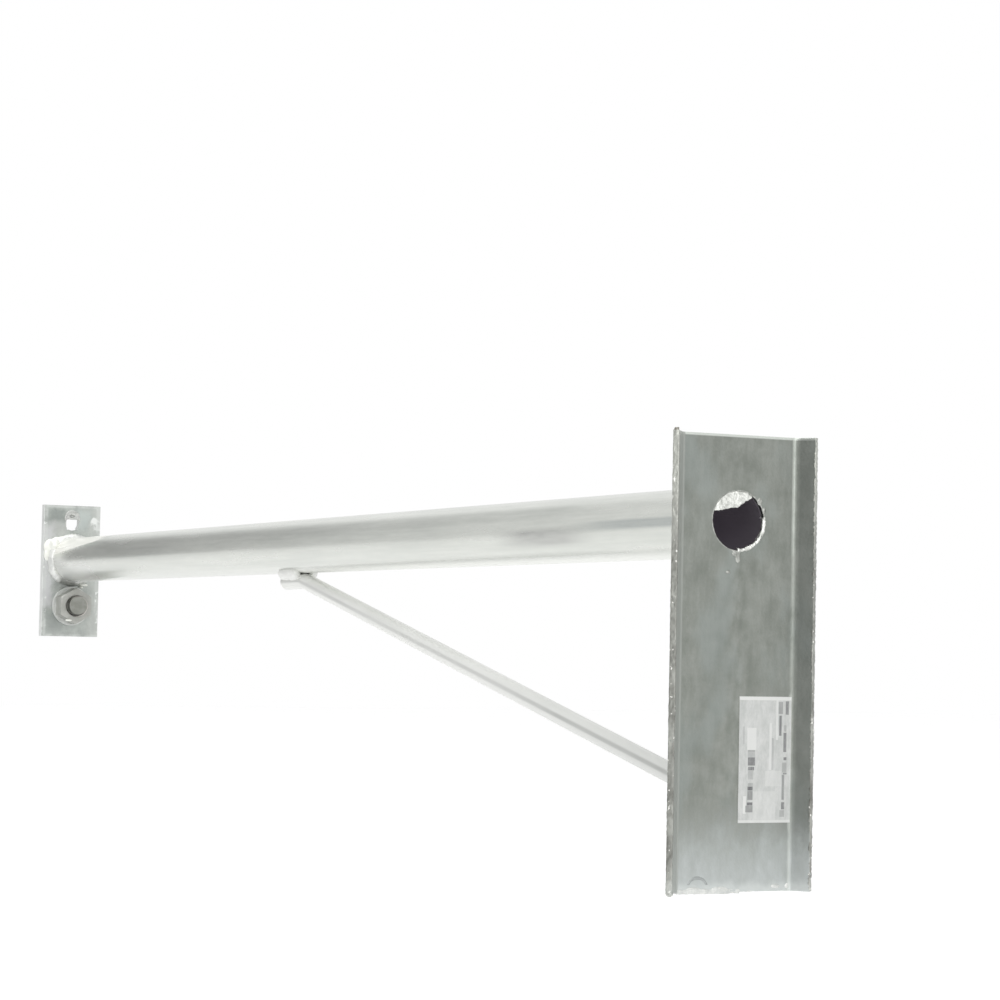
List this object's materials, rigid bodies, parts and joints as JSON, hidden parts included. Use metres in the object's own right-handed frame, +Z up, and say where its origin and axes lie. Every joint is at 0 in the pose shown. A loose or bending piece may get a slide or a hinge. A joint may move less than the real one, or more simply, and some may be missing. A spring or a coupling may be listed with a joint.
{
  "type": "fibre optic extension arm",
  "caption": "Galvanised tube arm with a folded back plate for a pole, a round-bar brace and a slotted end plate with a bolt, for holding overhead cable away from the pole.",
  "frame": {"origin": "where the tube's axis meets the pole side of the back plate's web", "axes": "+X along the tube, away from the pole; +Y to the left seen from the pole; +Z up"},
  "size_m": [1.0267, 0.078, 0.2135],
  "materials": {
    "galvanised_plate": "hot-dip galvanised, dull grey",
    "galvanised_tube": "hot-dip galvanised, satin",
    "galvanised_weld": "weld under hot-dip zinc",
    "galvanised_fastener": "hot-dip galvanised fastener",
    "label_paper": "matt white sticker"
  },
  "bodies": {
    "root": {"back_plate": "galvanised_plate", "arm_tube": "galvanised_tube", "end_plate": "galvanised_plate", "brace_bar": "galvanised_tube", "root_weld": "galvanised_weld", "tip_weld": "galvanised_weld", "brace_foot_weld": "galvanised_weld", "brace_top_weld_left": "galvanised_weld", "brace_top_weld_right": "galvanised_weld", "tip_bolt": "galvanised_fastener", "tip_nut": "galvanised_fastener", "inner_washer": "galvanised_fastener", "outer_washer": "galvanised_fastener", "label": "label_paper"}
  },
  "joints": []
}
